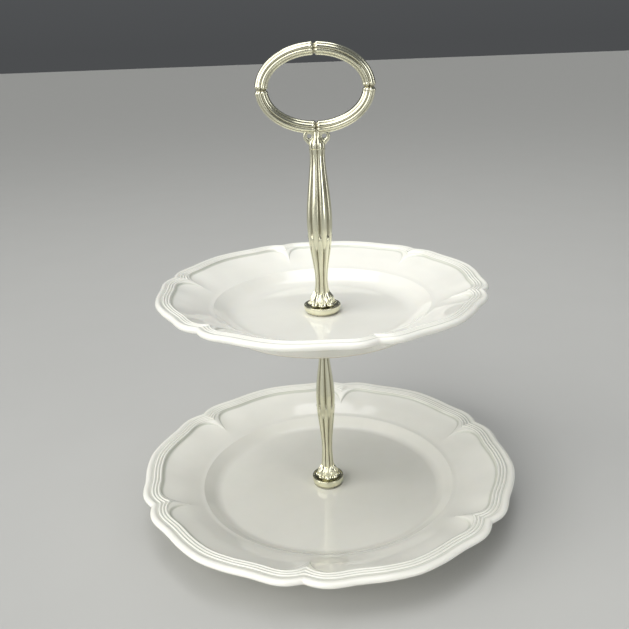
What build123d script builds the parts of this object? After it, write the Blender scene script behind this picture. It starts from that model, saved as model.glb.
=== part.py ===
"""Two-tier cake stand: two lobed porcelain plates clamped on a two-piece plated stem.

The origin is the middle of the lower plate's foot ring, on the table, with +Z up the stem.
Every piece is its own solid: plates, collars, gaskets, washers, columns, stud, screw, ring.
"""
import os
from dataclasses import dataclass

from build123d import *

# Table of driving sizes, millimetres and degrees.

# Lower plate
LOWER_RIM_RADIUS = 130.0
LOWER_SHOULDER_RADIUS = 89.0
LOWER_FLOOR_RADIUS = 80.0
LOWER_FOOT_RADIUS = 79.0
LOWER_FOOT_HEIGHT = 5.5
LOWER_SHOULDER_RISE = 6.3
LOWER_RIM_RISE = 17.5
LOWER_NOTCH_ANGLE = 22.8

# Upper plate
UPPER_RIM_RADIUS = 107.1
UPPER_SHOULDER_RADIUS = 71.5
UPPER_FLOOR_RADIUS = 60.0
UPPER_FOOT_RADIUS = 64.0
UPPER_FOOT_HEIGHT = 1.9
UPPER_SHOULDER_RISE = 8.4
UPPER_RIM_RISE = 18.8
UPPER_NOTCH_ANGLE = 46.7

# Both plates
FLOOR_THICKNESS = 4.0
LIP_THICKNESS = 4.2
LIP_WIDTH = 9.0
LIP_ROUNDING = 1.6
WELL_ROUNDING = 12.0
SHOULDER_ROUNDING = 3.0
FOOT_WIDTH = 4.0
FOOT_ROUNDING = 0.8
FOOT_UNDERCUT = 1.0
PLATE_HOLE_RADIUS = 5.0
LOBES = 6
NOTCH_ROUNDING = 1.2
# Angle from a notch, and how far the edge stands outside the mean radius there, as a share of it.
LOBE_SHAPE = ((0.0, -0.021), (5.5, 0.004), (14.0, -0.008), (22.0, 0.001), (30.0, 0.009))

# Thread and fits
THREAD_RADIUS = 2.45
THREAD_CLEARANCE = 0.05
PASSAGE_CLEARANCE = 0.35
HUB_CLEARANCE = 0.3
THREAD_ENGAGEMENT = 8.0
BORE_RUNOUT = 1.5

# Soft gaskets and flat washers
GASKET_RADIUS = 10.0
GASKET_THICKNESS = 0.8
HUB_LENGTH = 3.2
WASHER_RADIUS = 11.0
BASE_WASHER_THICKNESS = 1.0
SUPPORT_WASHER_THICKNESS = 1.2

# Base screw
SCREW_HEAD_RADIUS = 6.0
SCREW_HEAD_HEIGHT = 2.6
SLOT_WIDTH = 1.4
SLOT_DEPTH = 1.2

# Collars
LOWER_COLLAR_RADIUS = 11.2
LOWER_COLLAR_HEIGHT = 5.9
UPPER_COLLAR_RADIUS = 12.2
UPPER_COLLAR_HEIGHT = 4.8
COLLAR_LIP = 1.4
COLLAR_FOOT_ROUNDING = 0.8
COLLAR_SIDE_ROUNDING = 2.0
COLLAR_LIP_ROUNDING = 0.25
DISH_DEPTH = 1.3
DISH_FLOOR_RADIUS = 6.0

# Columns
COLUMN_FOOT_RADIUS = 5.5
COLUMN_FOOT_HEIGHT = 9.0
# Share of the foot's height at which it is widest, and its top's extra radius over the neck's.
COLUMN_BULGE_SHARE = 0.45
COLUMN_FOOT_FLARE = 0.6
LOWER_COLUMN_LENGTH = 121.0
LOWER_FOOT_BULGE = 7.3
LOWER_NECK_HEIGHT = 28.0
LOWER_NECK_RADIUS = 3.75
LOWER_BELLY_HEIGHT = 65.0
LOWER_BELLY_RADIUS = 6.7
LOWER_THROAT_DROP = 25.0
LOWER_THROAT_RADIUS = 3.6
BOSS_LENGTH = 12.0
BOSS_RADIUS = 6.2
BOSS_FLARE = 1.0
UPPER_COLUMN_LENGTH = 103.0
UPPER_FOOT_BULGE = 8.2
UPPER_NECK_HEIGHT = 22.0
UPPER_NECK_RADIUS = 4.25
UPPER_BELLY_HEIGHT = 57.0
UPPER_BELLY_RADIUS = 8.4
UPPER_THROAT_DROP = 8.0
UPPER_THROAT_RADIUS = 4.95
UPPER_TOP_RADIUS = 5.5
STUD_SOCKET_DEPTH = 10.0

# Ring handle
RING_HALF_WIDTH = 32.4
RING_HALF_HEIGHT = 22.7
RING_TUBE_RADIUS = 4.0
RING_NECK_HEIGHT = 8.5
RING_WAIST_RADIUS = 4.9
RING_ROOT_RADIUS = 3.4
SPIGOT_LENGTH = 9.0
SCROLL_RADIUS = 3.4
SCROLL_HOLE_RADIUS = 1.2
SCROLL_OFFSET = 4.9
SCROLL_HEIGHT = 7.0
SCROLL_THICKNESS = 4.4

# Heights that follow from the stack of pieces.
PASSAGE_RADIUS = THREAD_RADIUS + PASSAGE_CLEARANCE
BORE_RADIUS = THREAD_RADIUS + THREAD_CLEARANCE
LOWER_FLOOR_Z = LOWER_FOOT_HEIGHT + FLOOR_THICKNESS
LOWER_COLLAR_Z = LOWER_FLOOR_Z + GASKET_THICKNESS
LOWER_COLUMN_Z = LOWER_COLLAR_Z + LOWER_COLLAR_HEIGHT - DISH_DEPTH
SUPPORT_WASHER_Z = LOWER_COLUMN_Z + LOWER_COLUMN_LENGTH
SUPPORT_GASKET_Z = SUPPORT_WASHER_Z + SUPPORT_WASHER_THICKNESS
UPPER_UNDERSIDE_Z = SUPPORT_GASKET_Z + GASKET_THICKNESS
UPPER_FLOOR_Z = UPPER_UNDERSIDE_Z + FLOOR_THICKNESS
UPPER_COLLAR_Z = UPPER_FLOOR_Z + GASKET_THICKNESS
UPPER_COLUMN_Z = UPPER_COLLAR_Z + UPPER_COLLAR_HEIGHT - DISH_DEPTH
RING_NECK_Z = UPPER_COLUMN_Z + UPPER_COLUMN_LENGTH
RING_CENTRE_Z = RING_NECK_Z + RING_NECK_HEIGHT + RING_TUBE_RADIUS + RING_HALF_HEIGHT
BASE_GASKET_Z = LOWER_FOOT_HEIGHT - GASKET_THICKNESS
BASE_WASHER_Z = BASE_GASKET_Z - BASE_WASHER_THICKNESS
SCREW_LENGTH = LOWER_COLUMN_Z + THREAD_ENGAGEMENT - BASE_WASHER_Z
STUD_Z = SUPPORT_WASHER_Z - THREAD_ENGAGEMENT
STUD_LENGTH = UPPER_COLUMN_Z + STUD_SOCKET_DEPTH - STUD_Z


@dataclass
class PlateSizes:
    """Sizes of one plate. A rise is measured up from the top of the plate's floor."""

    rim_radius: float
    shoulder_radius: float
    floor_radius: float
    foot_radius: float
    foot_height: float
    shoulder_rise: float
    rim_rise: float
    notch_angle: float


LOWER_PLATE = PlateSizes(
    LOWER_RIM_RADIUS,
    LOWER_SHOULDER_RADIUS,
    LOWER_FLOOR_RADIUS,
    LOWER_FOOT_RADIUS,
    LOWER_FOOT_HEIGHT,
    LOWER_SHOULDER_RISE,
    LOWER_RIM_RISE,
    LOWER_NOTCH_ANGLE,
)
UPPER_PLATE = PlateSizes(
    UPPER_RIM_RADIUS,
    UPPER_SHOULDER_RADIUS,
    UPPER_FLOOR_RADIUS,
    UPPER_FOOT_RADIUS,
    UPPER_FOOT_HEIGHT,
    UPPER_SHOULDER_RISE,
    UPPER_RIM_RISE,
    UPPER_NOTCH_ANGLE,
)


def turned(points, roundings):
    """Solid of revolution about Z from (radius, height) corners, each rounded by its own radius."""
    section = make_face(Polyline(*points, close=True))
    for point, rounding in zip(points, roundings):
        if rounding:
            corner = section.vertices().sort_by_distance(point)[0]
            section = fillet(corner, rounding)
    return revolve(Plane.XZ * section, Axis.Z)


def rod(radius, bottom, length):
    """Upright round bar on the stem's axis."""
    return Pos(0, 0, bottom) * Cylinder(radius, length, align=(Align.CENTER, Align.CENTER, Align.MIN))


def lobed_outline(rim_radius, notch_angle):
    """Flat face of the plate's plan shape: bracket lobes that meet in small rounded notches."""
    rising = list(LOBE_SHAPE)
    pitch = 360.0 / LOBES
    falling = [(pitch - angle, offset) for angle, offset in reversed(rising[:-1])]
    edges = []
    for lobe in range(LOBES):
        start = notch_angle + lobe * pitch
        points = [
            Vector(rim_radius * (1 + offset), 0).rotate(Axis.Z, start + angle)
            for angle, offset in rising + falling
        ]
        edges.append(Spline(*points))
    outline = make_face(edges)
    notches = outline.vertices()
    return fillet(notches, NOTCH_ROUNDING)


def plate(sizes):
    """Porcelain plate with its underside at height zero: well, sloping flange, lip, foot, hole."""
    floor_z = FLOOR_THICKNESS
    shoulder_z = floor_z + sizes.shoulder_rise
    lip_top = floor_z + sizes.rim_rise + LIP_ROUNDING
    lip_bottom = lip_top - LIP_THICKNESS
    lip_inside = sizes.rim_radius - LIP_WIDTH
    corners = (
        (PLATE_HOLE_RADIUS, floor_z),
        (sizes.floor_radius, floor_z),
        (sizes.shoulder_radius, shoulder_z),
        (lip_inside, lip_top),
        (lip_inside, lip_bottom),
        (sizes.shoulder_radius + LIP_THICKNESS, shoulder_z - LIP_THICKNESS),
        (sizes.foot_radius + FOOT_WIDTH / 2, 0),
        (sizes.foot_radius, -sizes.foot_height),
        (sizes.foot_radius - FOOT_WIDTH, -sizes.foot_height),
        (sizes.foot_radius - FOOT_WIDTH - FOOT_UNDERCUT, 0),
        (PLATE_HOLE_RADIUS, 0),
    )
    top_roundings = (0, WELL_ROUNDING, SHOULDER_ROUNDING, 0)
    foot_roundings = (0, SHOULDER_ROUNDING, 0, FOOT_ROUNDING, FOOT_ROUNDING, 0, 0)
    roundings = top_roundings + foot_roundings
    body = turned(corners, roundings)
    outline = lobed_outline(sizes.rim_radius, sizes.notch_angle)
    lip = Pos(0, 0, lip_bottom) * extrude(outline, LIP_THICKNESS)
    rounded_edges = lip.edges().group_by(Axis.Z)[0] + lip.edges().group_by(Axis.Z)[-1]
    lip = fillet(rounded_edges, LIP_ROUNDING)
    return body + (lip - rod(lip_inside, lip_bottom - 1, LIP_THICKNESS + 2))


def washer(outer, inner, bottom, thickness):
    """Flat ring on the stem's axis."""
    return rod(outer, bottom, thickness) - rod(inner, bottom, thickness)


def hub_gasket(top):
    """Soft washer that presses up on a plate, with a hub that centres the plate's hole on it."""
    bottom = top - GASKET_THICKNESS
    flange = rod(GASKET_RADIUS, bottom, GASKET_THICKNESS)
    hub = rod(PLATE_HOLE_RADIUS - HUB_CLEARANCE, top, HUB_LENGTH)
    return flange + hub - rod(PASSAGE_RADIUS, bottom, GASKET_THICKNESS + HUB_LENGTH)


def collar(radius, height, bottom):
    """Turned disc with a rounded side and a dished top that the column's foot sits in."""
    dish_z = bottom + height - DISH_DEPTH
    corners = (
        (PASSAGE_RADIUS, bottom),
        (radius - COLLAR_LIP, bottom),
        (radius, bottom + height / 2),
        (radius - COLLAR_LIP / 2, bottom + height),
        (radius - COLLAR_LIP, bottom + height),
        (DISH_FLOOR_RADIUS, dish_z),
        (PASSAGE_RADIUS, dish_z),
    )
    roundings = (
        0,
        COLLAR_FOOT_ROUNDING,
        COLLAR_SIDE_ROUNDING,
        COLLAR_LIP_ROUNDING,
        COLLAR_LIP_ROUNDING,
        COLLAR_SIDE_ROUNDING,
        0,
    )
    return turned(corners, roundings)


def column(bottom, length, foot_bulge, waypoints):
    """Cast column: a bulged foot, then a smooth baluster through (height, radius) waypoints."""
    foot_top_radius = waypoints[0][1] + COLUMN_FOOT_FLARE
    points = [(foot_top_radius, COLUMN_FOOT_HEIGHT)]
    points += [(radius, height) for height, radius in waypoints]
    with BuildLine() as profile:
        Line((0, 0), (COLUMN_FOOT_RADIUS, 0))
        ThreePointArc(
            (COLUMN_FOOT_RADIUS, 0),
            (foot_bulge, COLUMN_FOOT_HEIGHT * COLUMN_BULGE_SHARE),
            (foot_top_radius, COLUMN_FOOT_HEIGHT),
        )
        Spline(*points)
        Line(points[-1], (0, length))
        Line((0, length), (0, 0))
    section = make_face(profile.line)
    return Pos(0, 0, bottom) * revolve(Plane.XZ * section, Axis.Z)


def lower_column():
    """Column between the plates, threaded at both ends, with a boss under the upper plate."""
    boss_z = LOWER_COLUMN_LENGTH - BOSS_LENGTH
    waypoints = (
        (LOWER_NECK_HEIGHT, LOWER_NECK_RADIUS),
        (LOWER_BELLY_HEIGHT, LOWER_BELLY_RADIUS),
        (LOWER_COLUMN_LENGTH - LOWER_THROAT_DROP, LOWER_THROAT_RADIUS),
        (boss_z, BOSS_RADIUS - BOSS_FLARE),
        (LOWER_COLUMN_LENGTH - BOSS_LENGTH / 2, BOSS_RADIUS),
        (LOWER_COLUMN_LENGTH, BOSS_RADIUS),
    )
    body = column(LOWER_COLUMN_Z, LOWER_COLUMN_LENGTH, LOWER_FOOT_BULGE, waypoints)
    depth = THREAD_ENGAGEMENT + BORE_RUNOUT
    foot_bore = rod(BORE_RADIUS, LOWER_COLUMN_Z, depth)
    top_bore = rod(BORE_RADIUS, SUPPORT_WASHER_Z - depth, depth)
    return body - foot_bore - top_bore


def upper_column():
    """Column above the upper plate, with a socket for the stud and one for the ring's spigot."""
    waypoints = (
        (UPPER_NECK_HEIGHT, UPPER_NECK_RADIUS),
        (UPPER_BELLY_HEIGHT, UPPER_BELLY_RADIUS),
        (UPPER_COLUMN_LENGTH - UPPER_THROAT_DROP, UPPER_THROAT_RADIUS),
        (UPPER_COLUMN_LENGTH, UPPER_TOP_RADIUS),
    )
    body = column(UPPER_COLUMN_Z, UPPER_COLUMN_LENGTH, UPPER_FOOT_BULGE, waypoints)
    stud_socket = rod(BORE_RADIUS, UPPER_COLUMN_Z, STUD_SOCKET_DEPTH)
    spigot_socket = rod(BORE_RADIUS, RING_NECK_Z - SPIGOT_LENGTH, SPIGOT_LENGTH)
    return body - stud_socket - spigot_socket


def scroll(side):
    """Small pierced volute on one side of the ring's neck, its hole running front to back."""
    along_y = Rot(90, 0, 0)
    disc = Cylinder(SCROLL_RADIUS, SCROLL_THICKNESS) - Cylinder(SCROLL_HOLE_RADIUS, SCROLL_THICKNESS)
    return Pos(side * SCROLL_OFFSET, 0, RING_NECK_Z + SCROLL_HEIGHT) * along_y * disc


def ring_side(start_angle):
    """One half of the oval ring, from the bottom to the top of its centre line or back down."""
    line = Edge.make_ellipse(
        RING_HALF_WIDTH, RING_HALF_HEIGHT, start_angle=start_angle, end_angle=start_angle + 180
    )
    path = Plane.XZ * line
    section = Plane(origin=path @ 0, z_dir=path % 0) * Circle(RING_TUBE_RADIUS)
    return Pos(0, 0, RING_CENTRE_Z) * sweep(section, path=path)


def ring_handle():
    """Oval carrying ring with its neck, two scrolls and a threaded spigot, one casting."""
    neck_top = RING_NECK_HEIGHT + RING_TUBE_RADIUS
    with BuildLine() as profile:
        Line((0, 0), (UPPER_TOP_RADIUS, 0))
        Spline(
            (UPPER_TOP_RADIUS, 0),
            (RING_WAIST_RADIUS, RING_NECK_HEIGHT / 2),
            (RING_ROOT_RADIUS, neck_top),
        )
        Line((RING_ROOT_RADIUS, neck_top), (0, neck_top))
        Line((0, neck_top), (0, 0))
    neck = Pos(0, 0, RING_NECK_Z) * revolve(Plane.XZ * make_face(profile.line), Axis.Z)
    spigot = rod(THREAD_RADIUS, RING_NECK_Z - SPIGOT_LENGTH, SPIGOT_LENGTH)
    neck = neck + spigot + scroll(-1) + scroll(1)
    ring = ring_side(-90) + ring_side(90)
    return neck + ring


def base_screw():
    """Slotted pan-head screw that clamps the lower plate from below."""
    shank = rod(THREAD_RADIUS, BASE_WASHER_Z, SCREW_LENGTH)
    head = rod(SCREW_HEAD_RADIUS, BASE_WASHER_Z - SCREW_HEAD_HEIGHT, SCREW_HEAD_HEIGHT)
    head = fillet(head.edges().group_by(Axis.Z)[0], SCREW_HEAD_HEIGHT / 2)
    slot_z = BASE_WASHER_Z - SCREW_HEAD_HEIGHT + SLOT_DEPTH / 2
    slot = Pos(0, 0, slot_z) * Box(2 * SCREW_HEAD_RADIUS, SLOT_WIDTH, SLOT_DEPTH)
    return shank + (head - slot)


def build_pieces():
    """Every piece of the stand, by node name."""
    return {
        "lower_plate": Pos(0, 0, LOWER_FOOT_HEIGHT) * plate(LOWER_PLATE),
        "upper_plate": Pos(0, 0, UPPER_UNDERSIDE_Z) * plate(UPPER_PLATE),
        "base_screw": base_screw(),
        "base_washer": washer(WASHER_RADIUS, PASSAGE_RADIUS, BASE_WASHER_Z, BASE_WASHER_THICKNESS),
        "base_gasket": hub_gasket(LOWER_FOOT_HEIGHT),
        "lower_collar_gasket": washer(GASKET_RADIUS, PASSAGE_RADIUS, LOWER_FLOOR_Z, GASKET_THICKNESS),
        "lower_collar": collar(LOWER_COLLAR_RADIUS, LOWER_COLLAR_HEIGHT, LOWER_COLLAR_Z),
        "lower_column": lower_column(),
        "support_washer": washer(
            WASHER_RADIUS, PASSAGE_RADIUS, SUPPORT_WASHER_Z, SUPPORT_WASHER_THICKNESS
        ),
        "support_gasket": hub_gasket(UPPER_UNDERSIDE_Z),
        "upper_collar_gasket": washer(GASKET_RADIUS, BORE_RADIUS, UPPER_FLOOR_Z, GASKET_THICKNESS),
        "upper_collar": collar(UPPER_COLLAR_RADIUS, UPPER_COLLAR_HEIGHT, UPPER_COLLAR_Z),
        "upper_stud": rod(THREAD_RADIUS, STUD_Z, STUD_LENGTH),
        "upper_column": upper_column(),
        "ring_handle": ring_handle(),
    }


if __name__ == "__main__":
    os.makedirs("parts", exist_ok=True)
    for node, solid in build_pieces().items():
        export_step(solid, f"parts/{node}.step")
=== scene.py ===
"""Two-tier cake stand: lobed porcelain plates on a reeded, silver-plated stem with a carrying ring."""
import math

import bmesh
import bpy
from mathutils import Matrix, Vector


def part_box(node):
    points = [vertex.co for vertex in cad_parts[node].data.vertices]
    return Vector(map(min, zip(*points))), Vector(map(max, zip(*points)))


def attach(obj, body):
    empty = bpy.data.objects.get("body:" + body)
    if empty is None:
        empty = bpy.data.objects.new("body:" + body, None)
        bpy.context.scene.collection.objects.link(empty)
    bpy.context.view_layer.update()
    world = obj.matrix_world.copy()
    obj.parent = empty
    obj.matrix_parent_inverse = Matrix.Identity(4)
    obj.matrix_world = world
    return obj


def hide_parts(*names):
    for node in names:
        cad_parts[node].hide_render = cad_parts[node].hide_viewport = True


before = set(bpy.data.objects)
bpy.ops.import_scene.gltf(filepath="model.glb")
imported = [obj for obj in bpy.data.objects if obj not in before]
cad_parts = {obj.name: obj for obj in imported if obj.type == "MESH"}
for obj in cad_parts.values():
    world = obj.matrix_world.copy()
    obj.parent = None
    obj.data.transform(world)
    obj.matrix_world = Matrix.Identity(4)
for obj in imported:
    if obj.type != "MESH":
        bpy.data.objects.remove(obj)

bl_info = {
    "name": "Two-Tier Cake Stand",
    "version": (1, 0, 0),
    "blender": (4, 5, 0),
    "location": "3D View > Sidebar > Cake Stand",
    "description": "Builds a porcelain cake stand with a reeded, silver-plated stem and ring",
    "category": "Object",
}

MM = 0.001

# Plates, in millimetres. Heights are measured from each plate's flat underside.
LOWER_PLATE = {
    "rim": 130.0, "shoulder": 89.0, "floor": 80.0, "foot": 79.0, "foot_height": 5.5,
    "shoulder_rise": 6.3, "rim_rise": 17.5, "notch": 22.8, "well": 12.0,
}
UPPER_PLATE = {
    "rim": 107.1, "shoulder": 71.5, "floor": 60.0, "foot": 64.0, "foot_height": 1.9,
    "shoulder_rise": 8.4, "rim_rise": 18.8, "notch": 46.7, "well": 22.0,
}
FLOOR_THICKNESS = 4.0
LIP_THICKNESS = 4.2
FOOT_WIDTH = 4.0
BARE_FOOT_HEIGHT = 0.35
PLATE_HOLE_RADIUS = 5.0
HOLE_ROUNDING = 0.35
LOBES = 6
LOBE_PITCH = 360.0 / LOBES
# Angle from a notch in degrees, and how far the edge stands out there, as a share of the radius.
LOBE_SHAPE = ((0.0, -0.021), (5.5, 0.004), (14.0, -0.008), (22.0, 0.001), (30.0, 0.009))
NOTCH_SOFTNESS = 0.45
NOTCH_STEEPNESS = 1.6
# Columns of the mesh are this many degrees apart at a notch, and spread by this ratio from there.
NOTCH_STEP = 0.16
STEP_GROWTH = 1.05
# Rim moulding of the lower plate, by distance in from its edge. The upper plate's is to scale.
CREST_RISE = 1.7
LIP_CREST = 2.7
CREST_DROP = 2.0
LIP_VALLEY = 5.3
VALLEY_DROP = 0.75
FIELD_EDGE = 12.0
FIELD_DROP = 1.25
OUTLINE_KEPT = 13.0
EDGE_ROUNDING = 2.2
STEP_WIDTH = 0.9
CUSP_TAPER = 4.0
# Each fine reed's distance in from the edge, and how much further in it runs at a notch.
RIM_REEDS = ((6.5, 0.0), (8.6, 0.9), (10.7, 2.1))
REED_HALF_WIDTH = 0.95
REED_TAPER = 3.0
# Rings of the mesh: radii on the flat floor, then distances in from the edge. Those over the
# cusps and over the reeds are given as the first distance, the spacing and the count.
FLOOR_RINGS = (PLATE_HOLE_RADIUS, 5.4, 7.0, 10.0, 14.0, 20.0, 30.0, 40.0, 48.0)
FIELD_SPACING = 2.0
CUSP_RINGS = (30.0, 0.85, 19)
REED_RINGS = (13.8, 0.26, 33)
LIP_RINGS = (5.1, 4.7, 4.2, 3.7, 3.2, 2.7, 2.2, 1.7, 1.2, 0.8, 0.45, 0.2, 0.05)

# Stem, in millimetres. Heights along a column are measured from its own foot.
THREAD_PITCH = 0.8
THREAD_DEPTH = 0.4
THREAD_RADIUS = 2.45
BORE_RADIUS = 2.5
BORE_DEPTH = 9.5
DRILL_POINT = 1.2
PASSAGE_RADIUS = 2.8
COLUMN_FOOT_RADIUS = 5.5
COLUMN_FOOT_HEIGHT = 9.0
LEAF_LOBES = 4
LEAF_POINTS = 5.0
STUD_SOCKET_DEPTH = 10.0
SPIGOT_LENGTH = 9.0
# A waypoint is a height and the radius there. The reeds swap places at the change height.
LOWER_COLUMN = {
    "length": 121.0, "foot_bulge": 7.3, "leaf_bulge": 7.5, "leaf_neck": 4.35,
    "foot_bore": BORE_DEPTH, "top_bore": BORE_DEPTH, "change": 54.0, "reeds_end": 110.0,
    "waypoints": ((28.0, 3.75), (65.0, 6.7), (96.0, 3.6), (109.0, 5.2), (115.0, 6.2), (121.0, 6.2)),
}
UPPER_COLUMN = {
    "length": 103.0, "foot_bulge": 8.2, "leaf_bulge": 8.2, "leaf_neck": 4.85,
    "foot_bore": STUD_SOCKET_DEPTH, "top_bore": SPIGOT_LENGTH, "change": 44.0, "reeds_end": 104.0,
    "waypoints": ((22.0, 4.25), (57.0, 8.4), (94.0, 5.1), (103.0, 5.15)),
}

# Collars, washers and gaskets, in millimetres.
LOWER_COLLAR_RADIUS = 11.2
LOWER_COLLAR_HEIGHT = 5.9
UPPER_COLLAR_RADIUS = 12.2
UPPER_COLLAR_HEIGHT = 4.8
DISH_DEPTH = 1.3
DISH_FLOOR_RADIUS = 6.0
DISH_RADIUS = 10.9
# Painted shade and dark reflection: how far the collar's dished top is darkened.
DISH_PAINTED_SHADE = 0.55
WASHER_RADIUS = 11.0
SUPPORT_WASHER_THICKNESS = 1.2
BASE_WASHER_THICKNESS = 1.0
GASKET_RADIUS = 10.0
GASKET_THICKNESS = 0.8
HUB_RADIUS = 4.7
HUB_LENGTH = 3.2

# Base screw and stud, in millimetres.
SCREW_HEAD_RADIUS = 6.0
SCREW_HEAD_HEIGHT = 2.6
SLOT_DEPTH = 1.2
SLOT_WIDTH = 1.4
ROD_CHAMFER = 0.4

# Ring handle, in millimetres, above its neck's joint with the upper column.
RING_HALF_WIDTH = 32.4
RING_HALF_HEIGHT = 22.7
RING_TUBE_RADIUS = 4.0
RING_NECK_HEIGHT = 8.5
NECK_RADIUS = 5.15
NOTCH_DEPTH_SHARE = 0.26
NOTCH_WIDTH = 1.2
SCROLL_OFFSET = 4.6
SCROLL_HEIGHT = 7.3
SCROLL_WIDTH = 4.4
SCROLL_TURN_STEPS = 27

# Faces round each turned piece.
COLUMN_SIDES = 160
COLLAR_SIDES = 128
WASHER_SIDES = 96
SCREW_SIDES = 64
STUD_SIDES = 32

# Second colours of the finishes and of the surround, as sRGB hex values.
BARE_CLAY = "D9D0BC"
ZINC_CLOUD = "B9B59E"
AGED_VINYL = "CFCAB2"
FLOOR_MOTTLE = "B0B0AC"
HORIZON = "6A6C6E"
OVERHEAD = "A8ACB0"

# Pattern sizes, in millimetres.
GLAZE_CLOUD = 18.0
GLAZE_WAVE = 11.0
SILVER_BLOOM = 9.0
ZINC_BLOTCH = 4.0
VINYL_CLOUD = 3.0
BOARD_MOTTLE = 71.4
# Real wipe marks and lathe marks are under a tenth as wide: they are drawn this coarse to show.
WIPE_MARKS = 1.1
LATHE_MARKS = 0.98175

# Stage, in metres, watts and degrees.
FLOOR_REACH = 12.0
SURROUND_STRENGTH = 0.5
KEY_STRENGTH = 2.7
KEY_SPREAD = 75.0
KEY_PLACE = (-1.3, -1.1, 0.97)
KEY_COLOUR = (1.0, 0.99, 0.96)
LIGHT_AIM = (0.0, 0.0, 0.13)
SOFT_LIGHTS = (
    ("top light", (-0.1, 0.0, 1.5), (1.3, 1.0), 10.0, (1.0, 1.0, 1.0)),
    ("right strip", (1.1, -1.15, 0.5), (0.5, 1.1), 5.0, (0.98, 0.99, 1.0)),
    ("left strip", (-1.3, -0.5, 0.4), (0.35, 0.9), 2.0, (1.0, 1.0, 1.0)),
)
CAMERA_PLACE = (0.0, -0.4594, 0.3106)
CAMERA_DOWN = 20.37
CAMERA_ASIDE = -0.68
CAMERA_TILT = -2.16
CAMERA_LENS = 42.04


# ---------------------------------------------------------------- settings


class CakeStandSizes(bpy.types.PropertyGroup):
    """Sizes of the relief on the plates and on the stem."""

    reed_height: bpy.props.FloatProperty(
        name="Rim reed height", description="How far each fine reed stands up from the plate's rim",
        default=0.6 * MM, unit="LENGTH", subtype="DISTANCE", precision=5,
    )
    cusp_height: bpy.props.FloatProperty(
        name="Cusp height", description="Height of the step round the rim's border and its cusps",
        default=1.15 * MM, unit="LENGTH", subtype="DISTANCE", precision=5,
    )
    cusp_reach: bpy.props.FloatProperty(
        name="Cusp reach", description="How far a cusp runs in from the border on the lower plate",
        default=15.0 * MM, unit="LENGTH", subtype="DISTANCE", precision=4,
    )
    column_reeds: bpy.props.IntProperty(
        name="Column reeds", description="Number of reeds round each column", default=8, min=4,
    )
    column_reed_depth: bpy.props.FloatProperty(
        name="Column reed depth", description="Depth of the grooves, as a share of the column's radius",
        default=0.19, subtype="FACTOR",
    )
    ring_reed_depth: bpy.props.FloatProperty(
        name="Ring reed depth", description="Depth of the grooves, as a share of the ring's tube",
        default=0.2, subtype="FACTOR",
    )


class CakeStandColours(bpy.types.PropertyGroup):
    """Colours of the finishes, as sRGB hex values."""

    porcelain: bpy.props.StringProperty(
        name="Porcelain", description="Body colour under the clear glaze", default="F1F0E8",
    )
    # Gathered glaze and painted shade: this grey goes into the rim's grooves, its valley and the foot of the
    # step round its border.
    glaze_pool_and_shade: bpy.props.StringProperty(
        name="Glaze pool", description="Colour where the glaze has gathered", default="A3A998",
    )
    silver: bpy.props.StringProperty(
        name="Silver plate", description="Colour of the polished plate", default="EBE9D0",
    )
    # Tarnishing and painted shade: this colour darkens the grooves and notches, and the collars' dished tops
    # as painted shade and dark reflection.
    tarnish_and_shade: bpy.props.StringProperty(
        name="Tarnish_and_shade", description="Colour left in the grooves by polishing", default="5E553B",
    )
    zinc: bpy.props.StringProperty(
        name="Zinc", description="Colour of the plated screw, stud and washer", default="C4C8CB",
    )
    vinyl: bpy.props.StringProperty(
        name="Vinyl", description="Colour of the clear gaskets", default="E6E3D6",
    )
    floor: bpy.props.StringProperty(
        name="Floor", description="Colour of the pale floor", default="BDBDBA",
    )


# ---------------------------------------------------------------- helpers


def linear(hex_colour):
    """Turns an sRGB hex colour into linear red, green, blue and full opacity."""
    shares = [int(hex_colour[at : at + 2], 16) / 255 for at in (0, 2, 4)]
    straight = [s / 12.92 if s <= 0.04045 else ((s + 0.055) / 1.055) ** 2.4 for s in shares]
    return (*straight, 1.0)


def add(tree, kind, *links, **settings):
    """Adds a node with its settings, sets or links its inputs, and gives its first output.

    Inputs come in order, and a dictionary at the end gives more by name or number.
    """
    node = tree.nodes.new(kind)
    for setting, value in settings.items():
        setattr(node, setting, value)
    named = links[-1] if links and isinstance(links[-1], dict) else {}
    in_order = links[:-1] if named else links
    for key, value in [*enumerate(in_order), *named.items()]:
        if isinstance(value, bpy.types.NodeSocket):
            tree.links.new(value, node.inputs[key])
        else:
            node.inputs[key].default_value = value
    return node.outputs[0] if node.outputs else None


def smoothstep(value):
    """Runs from 0 to 1 as the value does, level at both ends."""
    share = min(1.0, max(0.0, value))
    return share * share * (3 - 2 * share)


def rounded(corners, closed=True, steps=6):
    """Outline through (across, up, rounding) corners, each rounded off by an arc."""
    outline = []
    count = len(corners)
    for at, (across, up, rounding) in enumerate(corners):
        here = Vector((across, up))
        inner_corner = closed or 0 < at < count - 1
        if not rounding or not inner_corner:
            outline.append((across, up))
            continue
        before = Vector(corners[at - 1][:2]) - here
        after = Vector(corners[(at + 1) % count][:2]) - here
        half_turn = before.angle(after) / 2
        reach = rounding / math.tan(half_turn)
        reach = min(reach, before.length * 0.49, after.length * 0.49)
        start = here + before.normalized() * reach
        end = here + after.normalized() * reach
        for step in range(steps + 1):
            share = step / steps
            point = start * (1 - share) ** 2 + here * 2 * share * (1 - share) + end * share**2
            outline.append((point.x, point.y))
    return outline


def flowing(points, steps=10):
    """Smooth line through all the points, whose slope at each follows its neighbours."""
    vectors = [Vector(point) for point in points]
    ends = [2 * vectors[0] - vectors[1], *vectors, 2 * vectors[-1] - vectors[-2]]
    line = []
    for at in range(1, len(ends) - 2):
        a, b, c, d = ends[at - 1 : at + 3]
        for step in range(steps):
            t = step / steps
            line.append(
                0.5 * (2 * b + (c - a) * t + (2 * a - 5 * b + 4 * c - d) * t**2
                       + (3 * b - a - 3 * c + d) * t**3)
            )
    line.append(vectors[-1])
    return [tuple(point) for point in line]


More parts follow.
